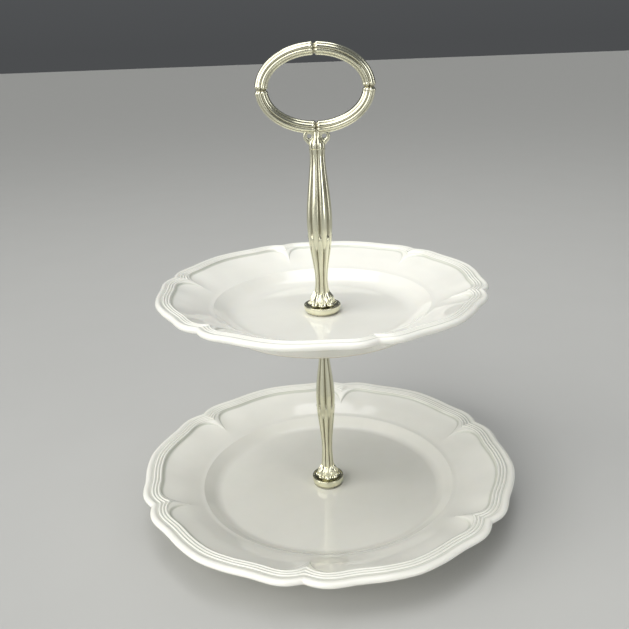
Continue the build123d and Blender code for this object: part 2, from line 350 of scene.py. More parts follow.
def turned(outline, segments, bottom=0.0, closed=True):
    """Vertices and faces of a section turned round the stem's axis, from millimetres to metres."""
    vertices, faces, rings = [], [], []
    for radius, height in outline:
        count = segments if radius > 1e-6 else 1
        rings.append([len(vertices) + at for at in range(count)])
        for at in range(count):
            angle = math.tau * at / segments
            vertices.append(
                (radius * math.cos(angle) * MM, radius * math.sin(angle) * MM, (bottom + height) * MM)
            )
    pairs = list(zip(rings, rings[1:]))
    if closed:
        pairs.append((rings[-1], rings[0]))
    for low, high in pairs:
        for at in range(segments):
            after = (at + 1) % segments
            corners = (low[at % len(low)], low[after % len(low)],
                       high[after % len(high)], high[at % len(high)])
            faces.append(tuple(dict.fromkeys(corners)))
    return vertices, [face for face in faces if len(face) > 2]


def new_piece(name, vertices, faces, sharp=38):
    """Mesh object with its faces pointing outwards, smooth except at edges sharper than that."""
    mesh = bpy.data.meshes.new(name)
    mesh.from_pydata(vertices, [], faces)
    shell = bmesh.new()
    shell.from_mesh(mesh)
    if shell.calc_volume(signed=True) < 0:
        bmesh.ops.reverse_faces(shell, faces=shell.faces)
    shell.to_mesh(mesh)
    shell.free()
    mesh.shade_smooth()
    mesh.set_sharp_from_angle(angle=math.radians(sharp))
    piece = bpy.data.objects.new(name, mesh)
    bpy.context.scene.collection.objects.link(piece)
    return piece


def merge(parts):
    """Vertices and faces of several shells as one list each."""
    vertices, faces = [], []
    for part_vertices, part_faces in parts:
        first = len(vertices)
        vertices += part_vertices
        faces += [tuple(first + corner for corner in face) for face in part_faces]
    return vertices, faces


def tube_faces(rings, corners):
    """Faces of a tube through a number of rings of corners, closed at both ends."""
    faces = []
    for ring in range(rings - 1):
        here, there = ring * corners, (ring + 1) * corners
        for at in range(corners):
            after = (at + 1) % corners
            faces.append((here + at, here + after, there + after, there + at))
    faces.append(tuple(reversed(range(corners))))
    faces.append(tuple(range((rings - 1) * corners, rings * corners)))
    return faces


def across_path(path, at):
    """Direction square to a path at one of its points, in the path's own plane."""
    before, after = path[max(0, at - 1)], path[min(len(path) - 1, at + 1)]
    along = Vector((after[0] - before[0], after[1] - before[1])).normalized()
    return Vector((-along.y, along.x))


def new_tree(name, sizes):
    """Empty Geometry Nodes tree with a mesh input, number inputs with defaults and a material."""
    tree = bpy.data.node_groups.new(name, "GeometryNodeTree")
    tree.interface.new_socket("Geometry", in_out="INPUT", socket_type="NodeSocketGeometry")
    for label, default in sizes.items():
        kind = "NodeSocketInt" if isinstance(default, int) else "NodeSocketFloat"
        tree.interface.new_socket(label, in_out="INPUT", socket_type=kind).default_value = default
    tree.interface.new_socket("Finish", in_out="INPUT", socket_type="NodeSocketMaterial")
    tree.interface.new_socket("Geometry", in_out="OUTPUT", socket_type="NodeSocketGeometry")
    return tree


def end_tree(tree, geometry, given):
    """Ends a tree with plain geometry in its finish."""
    whole = add(tree, "GeometryNodeRealizeInstances", geometry)
    done = add(tree, "GeometryNodeSetMaterial", {"Geometry": whole, "Material": given["Finish"]})
    add(tree, "NodeGroupOutput", done)
    return tree


def joined(tree, first, second):
    """Joins two geometries."""
    both = tree.nodes.new("GeometryNodeJoinGeometry")
    tree.links.new(first, both.inputs[0])
    tree.links.new(second, both.inputs[0])
    return both.outputs[0]


def round_axis(tree):
    """Each vertex's x, y and z, and its angle round the stem's axis."""
    spot = add(tree, "GeometryNodeInputPosition")
    parts = add(tree, "ShaderNodeSeparateXYZ", spot).node.outputs
    turn = add(tree, "ShaderNodeMath", parts["Y"], parts["X"], operation="ARCTAN2")
    return parts["X"], parts["Y"], parts["Z"], turn


def between(tree, z, given, fade):
    """Share that is 1 between the bottom and top heights, and fades to 0 towards each."""
    start = add(tree, "ShaderNodeMath", z, given["Bottom"], operation="SUBTRACT")
    start = add(tree, "ShaderNodeMapRange", start, 0.0, fade, 0.0, 1.0)
    stop = add(tree, "ShaderNodeMath", given["Top"], z, operation="SUBTRACT")
    stop = add(tree, "ShaderNodeMapRange", stop, 0.0, fade, 0.0, 1.0)
    return add(tree, "ShaderNodeMath", start, stop, operation="MULTIPLY")


def drawn_in(tree, x, y, z, kept):
    """Place of each vertex with only a share of its distance from the stem's axis kept."""
    new_x = add(tree, "ShaderNodeMath", x, kept, operation="MULTIPLY")
    new_y = add(tree, "ShaderNodeMath", y, kept, operation="MULTIPLY")
    return add(tree, "ShaderNodeCombineXYZ", new_x, new_y, z)


def shape_with(piece, tree, values):
    """Runs a Geometry Nodes tree on a piece, with its inputs set, and keeps the plain result."""
    modifier = piece.modifiers.new(tree.name, "NODES")
    modifier.node_group = tree
    for item in tree.interface.items_tree:
        if item.in_out == "INPUT" and item.name in values:
            modifier[item.identifier] = values[item.name]
    apply_modifiers(piece)


def apply_modifiers(piece):
    """Turns a piece and its modifiers into a plain mesh."""
    graph = bpy.context.evaluated_depsgraph_get()
    mesh = bpy.data.meshes.new_from_object(
        piece.evaluated_get(graph), preserve_all_data_layers=True, depsgraph=graph
    )
    piece.modifiers.clear()
    piece.data = mesh


def keep_shares(piece, label, shares):
    """Keeps one number for each vertex under a name that a material reads."""
    attribute = piece.data.attributes.new(label, "FLOAT", "POINT")
    attribute.data.foreach_set("value", shares)


def paint(piece, material):
    """Gives the whole piece one material."""
    piece.data.materials.clear()
    piece.data.materials.append(material)


def settle(piece, body, slot, *nodes):
    """Makes a finished piece ride on its body and stand for its nodes. The slot is not used."""
    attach(piece, body)
    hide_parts(*nodes)


def low(node):
    """Lowest height of a node, in millimetres."""
    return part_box(node)[0][2] / MM


def high(node):
    """Greatest height of a node, in millimetres."""
    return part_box(node)[1][2] / MM


# ---------------------------------------------------------------- finishes


def new_material(name):
    """Material with a Principled shader, its tree, the shader node and object coordinates."""
    material = bpy.data.materials.get(name)
    if material:
        bpy.data.materials.remove(material)
    material = bpy.data.materials.new(name)
    material.use_nodes = True
    tree = material.node_tree
    shader = tree.nodes["Principled BSDF"]
    place = add(tree, "ShaderNodeTexCoord").node.outputs["Object"]
    return material, tree, shader, place


def repeats(size):
    """Texture scale at which a pattern of that size in millimetres repeats, per metre."""
    return 1 / (size * MM)


def glazed_porcelain(colours):
    """Hard porcelain under a thick clear glaze: ivory white, mirror gloss, faintly wavy, greyer
    in the moulding's grooves, from gathered glaze and painted shade, and dry and buff on the bare foot ring."""
    material, tree, shader, place = new_material("Glazed porcelain")
    cloud = add(tree, "ShaderNodeTexNoise", {"Vector": place, "Scale": repeats(GLAZE_CLOUD), "Detail": 3.0})
    tone = add(tree, "ShaderNodeMapRange", cloud, 0.3, 0.7, 0.0, 0.05)
    # Gathered glaze and painted shade: this share greys the rim's grooves, its valley and the foot of the
    # border's step.
    pool_and_shade = add(tree, "ShaderNodeAttribute", attribute_name="pool_and_shade").node.outputs["Fac"]
    tint = add(tree, "ShaderNodeMath", tone, pool_and_shade, operation="MAXIMUM")
    glaze = add(
        tree, "ShaderNodeMix", {0: tint, 6: linear(colours.porcelain), 7: linear(colours.glaze_pool_and_shade)},
        data_type="RGBA",
    ).node.outputs[2]
    bare = add(tree, "ShaderNodeAttribute", attribute_name="bare").node.outputs["Fac"]
    colour = add(
        tree, "ShaderNodeMix", {0: bare, 6: glaze, 7: linear(BARE_CLAY)}, data_type="RGBA"
    ).node.outputs[2]
    tree.links.new(colour, shader.inputs["Base Color"])
    gloss = add(tree, "ShaderNodeMapRange", cloud, 0.3, 0.7, 0.05, 0.1)
    dry = add(tree, "ShaderNodeMath", bare, 0.7, gloss, operation="MULTIPLY_ADD")
    tree.links.new(dry, shader.inputs["Roughness"])
    wave = add(tree, "ShaderNodeTexNoise", {"Vector": place, "Scale": repeats(GLAZE_WAVE), "Detail": 1.0})
    bump = add(
        tree, "ShaderNodeBump", {"Strength": 0.5, "Distance": 0.00006, "Height": wave}
    )
    tree.links.new(bump, shader.inputs["Normal"])
    shader.inputs["IOR"].default_value = 1.55
    shader.inputs["Subsurface Weight"].default_value = 0.06
    shader.inputs["Subsurface Radius"].default_value = (0.004, 0.003, 0.002)
    shader.inputs["Subsurface Scale"].default_value = 1.0
    return material


def silver_plate(colours):
    """Cast metal, silver plated and hand polished: a warm bright mirror with hair-fine wipe marks,
    dull brown in each groove and notch from tarnishing and painted shade, painted shade and dark
    reflection in the collars' dished tops, and a soft bloom in patches."""
    material, tree, shader, place = new_material("Silver plate")
    # Painted shade with tarnishing: the groove attribute darkens and roughens the silver in the grooves and
    # notches, and in the collars' dishes as painted shade and dark reflection.
    groove = add(tree, "ShaderNodeAttribute", attribute_name="groove").node.outputs["Fac"]
    bloom = add(tree, "ShaderNodeTexNoise", {"Vector": place, "Scale": repeats(SILVER_BLOOM), "Detail": 4.0})
    haze = add(tree, "ShaderNodeMapRange", bloom, 0.45, 0.75, 0.0, 0.08)
    tarnish_bloom_and_shade = add(tree, "ShaderNodeMath", bloom, 0.7, 0.45, operation="MULTIPLY_ADD")
    tarnish_bloom_and_shade = add(tree, "ShaderNodeMath", groove, tarnish_bloom_and_shade, haze, operation="MULTIPLY_ADD", use_clamp=True)
    colour = add(
        tree, "ShaderNodeMix", {0: tarnish_bloom_and_shade, 6: linear(colours.silver), 7: linear(colours.tarnish_and_shade)},
        data_type="RGBA",
    ).node.outputs[2]
    tree.links.new(colour, shader.inputs["Base Color"])
    rough = add(tree, "ShaderNodeMath", tarnish_bloom_and_shade, 0.25, 0.15, operation="MULTIPLY_ADD")
    tree.links.new(rough, shader.inputs["Roughness"])
    marks = add(tree, "ShaderNodeTexNoise", {"Vector": place, "Scale": repeats(WIPE_MARKS), "Detail": 2.0})
    bump = add(tree, "ShaderNodeBump", {"Strength": 0.1, "Distance": 0.00002, "Height": marks})
    tree.links.new(bump, shader.inputs["Normal"])
    shader.inputs["Metallic"].default_value = 1.0
    return material


def zinc_steel(colours):
    """Turned steel with a bright zinc coat: cool grey, satin, with lathe rings and faint
    yellow-blue clouding."""
    material, tree, shader, place = new_material("Zinc-plated steel")
    cloud = add(tree, "ShaderNodeTexNoise", {"Vector": place, "Scale": repeats(ZINC_BLOTCH), "Detail": 3.0})
    colour = add(
        tree, "ShaderNodeMix", {0: cloud, 6: linear(colours.zinc), 7: linear(ZINC_CLOUD)},
        data_type="RGBA",
    ).node.outputs[2]
    tree.links.new(colour, shader.inputs["Base Color"])
    rough = add(tree, "ShaderNodeMapRange", cloud, 0.3, 0.7, 0.22, 0.38)
    tree.links.new(rough, shader.inputs["Roughness"])
    # A wave texture of scale 1 repeats 20 times in each turn of its sine.
    fine = repeats(LATHE_MARKS) * math.tau / 20
    rings = add(
        tree, "ShaderNodeTexWave", {"Vector": place, "Scale": fine, "Distortion": 0.6},
        wave_type="RINGS", rings_direction="Z",
    ).node.outputs["Fac"]
    bump = add(tree, "ShaderNodeBump", {"Strength": 0.2, "Distance": 0.00003, "Height": rings})
    tree.links.new(bump, shader.inputs["Normal"])
    shader.inputs["Metallic"].default_value = 1.0
    return material


def clear_vinyl(colours):
    """Soft clear vinyl, die cut: milky and slightly yellowed, letting some light through."""
    material, tree, shader, place = new_material("Clear vinyl")
    cloud = add(tree, "ShaderNodeTexNoise", {"Vector": place, "Scale": repeats(VINYL_CLOUD), "Detail": 2.0})
    colour = add(
        tree, "ShaderNodeMix", {0: cloud, 6: linear(colours.vinyl), 7: linear(AGED_VINYL)},
        data_type="RGBA",
    ).node.outputs[2]
    tree.links.new(colour, shader.inputs["Base Color"])
    rough = add(tree, "ShaderNodeMapRange", cloud, 0.3, 0.7, 0.24, 0.4)
    tree.links.new(rough, shader.inputs["Roughness"])
    shader.inputs["IOR"].default_value = 1.53
    shader.inputs["Transmission Weight"].default_value = 0.5
    return material


def pale_floor(colours):
    """Matt painted board: pale, even, with a barely visible mottle."""
    material, tree, shader, place = new_material("Matt painted board")
    mottle = add(tree, "ShaderNodeTexNoise", {"Vector": place, "Scale": repeats(BOARD_MOTTLE), "Detail": 4.0})
    shade = add(tree, "ShaderNodeMapRange", mottle, 0.3, 0.7, 0.0, 0.1)
    colour = add(
        tree, "ShaderNodeMix", {0: shade, 6: linear(colours.floor), 7: linear(FLOOR_MOTTLE)},
        data_type="RGBA",
    ).node.outputs[2]
    tree.links.new(colour, shader.inputs["Base Color"])
    shader.inputs["Roughness"].default_value = 0.75
    return material


# ---------------------------------------------------------------- plates


def edge_offset(turn):
    """How far a plate's edge stands out, as a share of its radius, that many degrees from a notch."""
    angle = abs((turn + LOBE_PITCH / 2) % LOBE_PITCH - LOBE_PITCH / 2)
    angle = math.hypot(angle, NOTCH_SOFTNESS) - NOTCH_SOFTNESS
    mirrored = [*LOBE_SHAPE, *((LOBE_PITCH - a, share) for a, share in LOBE_SHAPE[-2::-1])]
    at = max(k for k in range(len(LOBE_SHAPE)) if LOBE_SHAPE[k][0] <= angle)
    (x0, y0), (x1, y1) = mirrored[at], mirrored[at + 1]
    slope = (y1 - y0) / (x1 - x0)
    leaving = slope * NOTCH_STEEPNESS
    if at > 0:
        leaving = (y1 - mirrored[at - 1][1]) / (x1 - mirrored[at - 1][0])
    arriving = (mirrored[at + 2][1] - y0) / (mirrored[at + 2][0] - x0)
    t = (angle - x0) / (x1 - x0)
    width = x1 - x0
    return (
        y0 * (2 * t**3 - 3 * t**2 + 1) + y1 * (3 * t**2 - 2 * t**3)
        + leaving * width * (t**3 - 2 * t**2 + t) + arriving * width * (t**3 - t**2)
    )


class Plate:
    """Works out the surface of one plate from its sizes in millimetres."""

    def __init__(self, shape, sizes):
        self.rim, self.shoulder, self.floor = shape["rim"], shape["shoulder"], shape["floor"]
        self.foot, self.foot_height = shape["foot"], shape["foot_height"]
        self.notch, self.well = shape["notch"], shape["well"]
        self.shoulder_z = FLOOR_THICKNESS + shape["shoulder_rise"]
        self.crest_z = FLOOR_THICKNESS + shape["rim_rise"] + CREST_RISE
        self.scale = self.rim / LOWER_PLATE["rim"]
        self.reed = sizes.reed_height / MM * self.scale
        self.step = sizes.cusp_height / MM * self.scale
        self.reach = sizes.cusp_reach / MM * self.scale
        inner = self.rim - FIELD_EDGE * self.scale
        self.field_z = self.crest_z - FIELD_DROP
        self.slope = (self.field_z - self.shoulder_z) / (inner - self.shoulder)

    def top(self, inward, turn):
        """Height of the rim's upper face, and the share of grey there from gathered glaze and painted shade.
        """
        depth = inward / self.scale
        angle = abs((turn + LOBE_PITCH / 2) % LOBE_PITCH - LOBE_PITCH / 2)
        away = math.radians(angle) * self.rim / self.scale
        crest, valley = self.crest_z, self.crest_z - VALLEY_DROP
        if depth < LIP_CREST:
            sink = 1 - math.sqrt(max(0.0, 1 - ((LIP_CREST - depth) / LIP_CREST) ** 2))
            return crest - CREST_DROP * sink, 0.0
        if depth < LIP_VALLEY:
            share = (depth - LIP_CREST) / (LIP_VALLEY - LIP_CREST)
            # Painted shade along with gathered glaze: the valley behind the lip is greyed more towards its
            # inner side.
            return valley + (crest - valley) * (0.5 + 0.5 * math.cos(math.pi * share)), 0.25 * share
        border = valley + (self.field_z - valley) * (depth - LIP_VALLEY) / (FIELD_EDGE - LIP_VALLEY)
        flange = self.field_z - self.slope * (depth - FIELD_EDGE) * self.scale
        base = min(border, flange)
        # The border's inner edge sweeps in at each notch and ends in a tapering cusp.
        sweep = math.exp(-away / CUSP_TAPER)
        edge = FIELD_EDGE + self.reach / self.scale * sweep
        fade = 1 - smoothstep((depth - FIELD_EDGE) / (self.reach / self.scale + 1.0))
        strength = self.step * (0.35 + 0.65 * fade)
        raised = smoothstep((edge - depth) / STEP_WIDTH + 0.5)
        height = base + strength * (raised - 1) * smoothstep((depth - 5.0) / 6.0)
        # Painted shade along with gathered glaze: the porcelain is greyed at the foot of the border's step
        # and between the reeds.
        pooled_and_shaded = 0.55 * math.exp(-(((depth - edge - 0.6) / 0.9) ** 2)) * (0.4 + 0.6 * fade)
        for place, drift in RIM_REEDS:
            centre = place + drift * math.exp(-away / REED_TAPER)
            off = abs(depth - centre)
            if off < REED_HALF_WIDTH:
                height += self.reed * math.cos(math.pi / 2 * off / REED_HALF_WIDTH) ** 1.4
            else:
                pooled_and_shaded = max(pooled_and_shaded, 0.6 * math.exp(-(((off - 1.05) / 0.25) ** 2)))
        return height, pooled_and_shaded

    def outline_share(self, inward):
        """How much of the lobed outline a ring keeps: all at the rim, none at the shoulder."""
        start = OUTLINE_KEPT * self.scale
        end = self.rim - self.shoulder - 3.0
        return 1 - smoothstep((inward - start) / (end - start))

    def rings(self):
        """Nominal radius and height of each ring, from the hole out over the rim and back under.

        A height of None is worked out from the rim's moulding.
        """
        lip_bottom = self.crest_z - LIP_THICKNESS
        well = rounded(
            (
                (PLATE_HOLE_RADIUS, FLOOR_THICKNESS, 0),
                (self.floor, FLOOR_THICKNESS, self.well),
                (self.shoulder, self.shoulder_z, 1.6),
                (self.shoulder + 6, self.shoulder_z + 6 * self.slope, 0),
            ),
            closed=False,
            steps=9,
        )
        rings = [(radius, FLOOR_THICKNESS) for radius in FLOOR_RINGS]
        rings[0] = (PLATE_HOLE_RADIUS, FLOOR_THICKNESS - HOLE_ROUNDING)
        rings += [ring for ring in well if ring[0] > FLOOR_RINGS[-1] + 0.5][:-1]
        field = self.rim - self.shoulder - 1.5
        fine = CUSP_RINGS[0] * self.scale
        steps = int((field - fine) / FIELD_SPACING)
        inward = [field + (fine - field) * k / max(1, steps) for k in range(steps)]
        for first, spacing, count in (CUSP_RINGS, REED_RINGS):
            inward += [self.scale * (first - spacing * k) for k in range(count)]
        inward += [self.scale * distance for distance in LIP_RINGS]
        rings += [(self.rim - distance, None) for distance in inward]
        edge_z = self.crest_z - CREST_DROP
        for share in (0.15, 0.35, 0.55, 0.75, 0.9, 1.0):
            across = EDGE_ROUNDING * (1 - math.sqrt(1 - share**2))
            rings.append((self.rim - across, edge_z - (edge_z - lip_bottom) * share))
        under = rounded(
            (
                (self.rim - EDGE_ROUNDING, lip_bottom, 0),
                (self.rim - 9.0, lip_bottom, 3.0),
                (self.shoulder + LIP_THICKNESS, self.shoulder_z - LIP_THICKNESS, 6.0),
                (self.foot + FOOT_WIDTH / 2, 0, 1.0),
                (self.foot, -self.foot_height, 0.9),
                (self.foot - FOOT_WIDTH, -self.foot_height, 0.9),
                (self.foot - FOOT_WIDTH - 1, 0, 1.0),
                (PLATE_HOLE_RADIUS, 0, 0.3),
                (PLATE_HOLE_RADIUS, FLOOR_THICKNESS - HOLE_ROUNDING - 0.01, 0),
            ),
            closed=False,
            steps=5,
        )
        return rings + under[1:]

    def mesh(self):
        """Vertices, faces, grey share from gathered glaze and painted shade, and bare foot of the whole
        plate.
        """
        half = [0.0]
        step = NOTCH_STEP
        while half[-1] < LOBE_PITCH / 2:
            half.append(half[-1] + step)
            step *= STEP_GROWTH
        half = [angle * LOBE_PITCH / 2 / half[-1] for angle in half]
        turns = [lobe * LOBE_PITCH + a for lobe in range(LOBES) for a in half[:-1]]
        turns += [(lobe + 1) * LOBE_PITCH - a for lobe in range(LOBES) for a in half[1:]]
        turns.sort()
        offsets = [self.rim * edge_offset(turn) for turn in turns]
        vertices, pool_and_shade, bare = [], [], []
        for radius, height in self.rings():
            inward = self.rim - radius
            share = self.outline_share(inward)
            for turn, offset in zip(turns, offsets):
                r = radius + offset * share
                z, pooled_and_shaded = (height, 0.0) if height is not None else self.top(inward, turn)
                angle = math.radians(turn + self.notch)
                vertices.append((r * math.cos(angle) * MM, r * math.sin(angle) * MM, z))
                pool_and_shade.append(pooled_and_shaded)
                bare.append(1.0 if z < BARE_FOOT_HEIGHT - self.foot_height else 0.0)
        count = len(turns)
        total = len(vertices) // count
        faces = []
        for ring in range(total):
            here, there = ring * count, (ring + 1) % total * count
            for at in range(count):
                after = (at + 1) % count
                faces.append((here + at, here + after, there + after, there + at))
        return vertices, faces, pool_and_shade, bare


def lobed_plate(name, plate, underside, finish):
    """One plate as a closed glazed shell, with its gathered glaze and painted shade and its bare foot kept as
    attributes.
    """
    vertices, faces, pool_and_shade, bare = plate.mesh()
    vertices = [(x, y, (underside + z) * MM) for x, y, z in vertices]
    piece = new_piece(name, vertices, faces, sharp=60)
    keep_shares(piece, "pool_and_shade", pool_and_shade)
    keep_shares(piece, "bare", bare)
    paint(piece, finish)
    return piece


class CAKESTAND_OT_plates(bpy.types.Operator):
    """Builds both lobed porcelain plates with their reeded rims and foot rings"""

    bl_idname = "cakestand.plates"
    bl_label = "Porcelain Plates"

    def execute(self, context):
        sizes = context.scene.cake_stand_sizes
        finish = glazed_porcelain(context.scene.cake_stand_colours)
        for node, shape in (("lower_plate", LOWER_PLATE), ("upper_plate", UPPER_PLATE)):
            underside = low(node) + shape["foot_height"]
            piece = lobed_plate(f"{node}_porcelain", Plate(shape, sizes), underside, finish)
            settle(piece, node, "glazed_porcelain", node)
        return {"FINISHED"}


# ---------------------------------------------------------------- reeded columns


def reeded_tree():
    """Cuts grooves between convex reeds round a turned column.

    Above the change height a groove faces front. Below it the reeds sit half a pitch round, and
    the two sets meet in a zigzag of leaf points.
    """
    sizes = {"Reeds": 8, "Depth": 0.13, "Change": 0.05, "Points": 0.005, "Bottom": 0.0, "Top": 0.1}
    tree = new_tree("Reeded column", sizes)
    given = add(tree, "NodeGroupInput").node.outputs
    x, y, z, turn = round_axis(tree)
    half = add(tree, "ShaderNodeMath", given["Reeds"], 0.5, operation="MULTIPLY")
    phase = add(tree, "ShaderNodeMath", turn, half, operation="MULTIPLY")
    sine = add(tree, "ShaderNodeMath", phase, operation="SINE")
    cosine = add(tree, "ShaderNodeMath", phase, operation="COSINE")
    above = add(tree, "ShaderNodeMath", sine, operation="ABSOLUTE")
    below = add(tree, "ShaderNodeMath", cosine, operation="ABSOLUTE")
    lead = add(tree, "ShaderNodeMath", above, below, operation="SUBTRACT")
    lead = add(tree, "ShaderNodeMath", lead, given["Points"], operation="MULTIPLY")
    rise = add(tree, "ShaderNodeMath", z, given["Change"], operation="SUBTRACT")
    lead = add(tree, "ShaderNodeMath", lead, rise, operation="ADD")
    pick = add(tree, "ShaderNodeMapRange", lead, -0.0003, 0.0003, 0.0, 1.0)
    crown = add(tree, "ShaderNodeMix", {0: pick, 2: below, 3: above}, data_type="FLOAT")
    hollow = add(tree, "ShaderNodeMath", 1.0, crown, operation="SUBTRACT")
    hollow = add(tree, "ShaderNodeMath", hollow, 1.6, operation="POWER")
    reach = between(tree, z, given, 2.0 * MM)
    hollow = add(tree, "ShaderNodeMath", hollow, reach, operation="MULTIPLY")
    cut = add(tree, "ShaderNodeMath", hollow, given["Depth"], operation="MULTIPLY")
    kept = add(tree, "ShaderNodeMath", 1.0, cut, operation="SUBTRACT")
    place = drawn_in(tree, x, y, z, kept)
    # Painted shade with tarnishing: the silver is darkened towards the bottom of each groove.
    dark = add(tree, "ShaderNodeMath", hollow, 0.85, operation="POWER")
    stored = add(
        tree, "GeometryNodeStoreNamedAttribute",
        {"Geometry": given["Geometry"], "Name": "groove", "Value": dark}, domain="POINT",
    )
    moved = add(tree, "GeometryNodeSetPosition", {"Geometry": stored, "Position": place})
    return end_tree(tree, moved, given)


def leaf_tree():
    """Sets copies of one leaf evenly round the stem, and joins them to a column."""
    tree = new_tree("Ring of leaves", {"Leaves": 8})
    tree.interface.new_socket("Leaf", in_out="INPUT", socket_type="NodeSocketObject")
    given = add(tree, "NodeGroupInput").node.outputs
    leaf = add(tree, "GeometryNodeObjectInfo", given["Leaf"]).node.outputs["Geometry"]
    spots = add(tree, "GeometryNodePoints", given["Leaves"])
    count = add(tree, "ShaderNodeMath", math.tau, given["Leaves"], operation="DIVIDE")
    index = add(tree, "GeometryNodeInputIndex")
    turn = add(tree, "ShaderNodeMath", index, count, operation="MULTIPLY")
    round_stem = add(tree, "ShaderNodeCombineXYZ", 0.0, 0.0, turn)
    leaves = add(
        tree, "GeometryNodeInstanceOnPoints",
        {"Points": spots, "Instance": leaf, "Rotation": round_stem},
    )
    return end_tree(tree, joined(tree, leaves, given["Geometry"]), given)


def foot_leaf(bulge, top_radius, bottom):
    """One curled leaf at the column's foot: midrib, scooped halves, lobed edges, rolled-out tip."""
    spine = flowing(
        (
            (top_radius - 0.55, 11.8), (top_radius - 0.15, 9.8), (bulge - 2.5, 7.9),
            (bulge - 1.6, 6.0), (bulge - 1.15, 4.2), (bulge - 0.75, 2.9), (bulge + 0.1, 2.1),
            (bulge + 0.85, 2.4), (bulge + 0.75, 3.2),
        ),
        steps=7,
    )
    spans = flowing(
        (
            (0.6, 0.2), (1.3, 0.5), (2.0, 0.65), (2.45, 0.85), (2.7, 0.95), (2.75, 0.9), (2.5, 0.75),
            (1.9, 0.6), (0.9, 0.35),
        ),
        steps=7,
    )
    across = 25
    vertices = []
    last = len(spine) - 1
    for at, ((radius, height), (width, thick)) in enumerate(zip(spine, spans)):
        out = across_path(spine, at)
        lobed = 1 - 0.16 * math.sin(math.pi * LEAF_LOBES * at / last) ** 2
        for side in (1, -1):
            for step in range(across):
                share = (step if side > 0 else across - 1 - step) / (across - 1) * 2 - 1
                crown = math.sqrt(max(0.0, 1 - share**2))
                rib = 0.3 * math.exp(-((share / 0.13) ** 2))
                scoop = 0.75 * math.exp(-(((abs(share) - 0.47) / 0.22) ** 2))
                lift = thick * (0.9 * crown + rib - scoop if side > 0 else -0.9 * crown)
                wrap = 0.5 * share**2
                r = radius + out.x * lift - wrap
                z = height + out.y * lift
                vertices.append((r * MM, width * lobed * share * MM, (bottom + z) * MM))
    return vertices, tube_faces(last + 1, 2 * across)


def column_outline(shape):
    """Section of a column: bored from both ends, with a bulged foot and a baluster body."""
    length, bulge, waypoints = shape["length"], shape["foot_bulge"], shape["waypoints"]
    foot_bore, top_bore = shape["foot_bore"], length - shape["top_bore"]
    neck, top = waypoints[0][1] + 0.6, waypoints[-1][1]
    foot = flowing(
        (
            (COLUMN_FOOT_RADIUS - 1.0, 0.0), (COLUMN_FOOT_RADIUS - 0.3, 0.5),
            (bulge - 1.2, COLUMN_FOOT_HEIGHT * 0.35), (bulge - 1.5, COLUMN_FOOT_HEIGHT * 0.55),
            (neck, COLUMN_FOOT_HEIGHT),
        ),
        steps=5,
    )
    path = [(neck, COLUMN_FOOT_HEIGHT)] + [(radius, height) for height, radius in waypoints]
    body = flowing(path, steps=26)
    rim = [(top, length - 0.35), (top - 0.35, length)]
    bore_top = [(BORE_RADIUS + 0.3, length), (BORE_RADIUS, length - 0.3), (BORE_RADIUS, top_bore),
                (0.0, top_bore - DRILL_POINT)]
    bore_foot = [(0.0, foot_bore + DRILL_POINT), (BORE_RADIUS, foot_bore), (BORE_RADIUS, 0.3),
                 (BORE_RADIUS + 0.3, 0.0)]
    return bore_foot + foot + body[1:-1] + rim + bore_top


def reed(piece, sizes, finish, change, bottom, top):
    """Cuts the reeds into a turned piece, between two heights in millimetres."""
    values = {
        "Reeds": sizes.column_reeds, "Depth": sizes.column_reed_depth, "Change": change * MM,
        "Points": LEAF_POINTS * MM, "Bottom": bottom * MM, "Top": top * MM, "Finish": finish,
    }
    shape_with(piece, reeded_tree(), values)


def reeded_column(node, shape, sizes, finish):
    """One whole column: turned, reeded by rule, and with a tuft of leaves round its foot."""
    bottom = low(node)
    outline = column_outline(shape)
    piece = new_piece(f"{node}_cast", *turned(outline, COLUMN_SIDES, bottom, closed=False), sharp=50)
    reeds_start = bottom + COLUMN_FOOT_HEIGHT - 1
    reed(piece, sizes, finish, bottom + shape["change"], reeds_start, bottom + shape["reeds_end"])
    leaf = new_piece("leaf", *foot_leaf(shape["leaf_bulge"], shape["leaf_neck"], bottom), sharp=60)
    shape_with(piece, leaf_tree(), {"Leaves": sizes.column_reeds, "Leaf": leaf, "Finish": finish})
    bpy.data.objects.remove(leaf)
    return piece


class CAKESTAND_OT_columns(bpy.types.Operator):
    """Builds the two reeded columns with the leaf tufts at their feet"""

    bl_idname = "cakestand.columns"
    bl_label = "Reeded Columns"

    def execute(self, context):
        sizes = context.scene.cake_stand_sizes
        finish = silver_plate(context.scene.cake_stand_colours)
        parts = (("lower_column", LOWER_COLUMN, "stem"), ("upper_column", UPPER_COLUMN, "handle"))
        for node, shape, body in parts:
            piece = reeded_column(node, shape, sizes, finish)
            settle(piece, body, "silver_plate", node)
        return {"FINISHED"}


# ---------------------------------------------------------------- ring handle


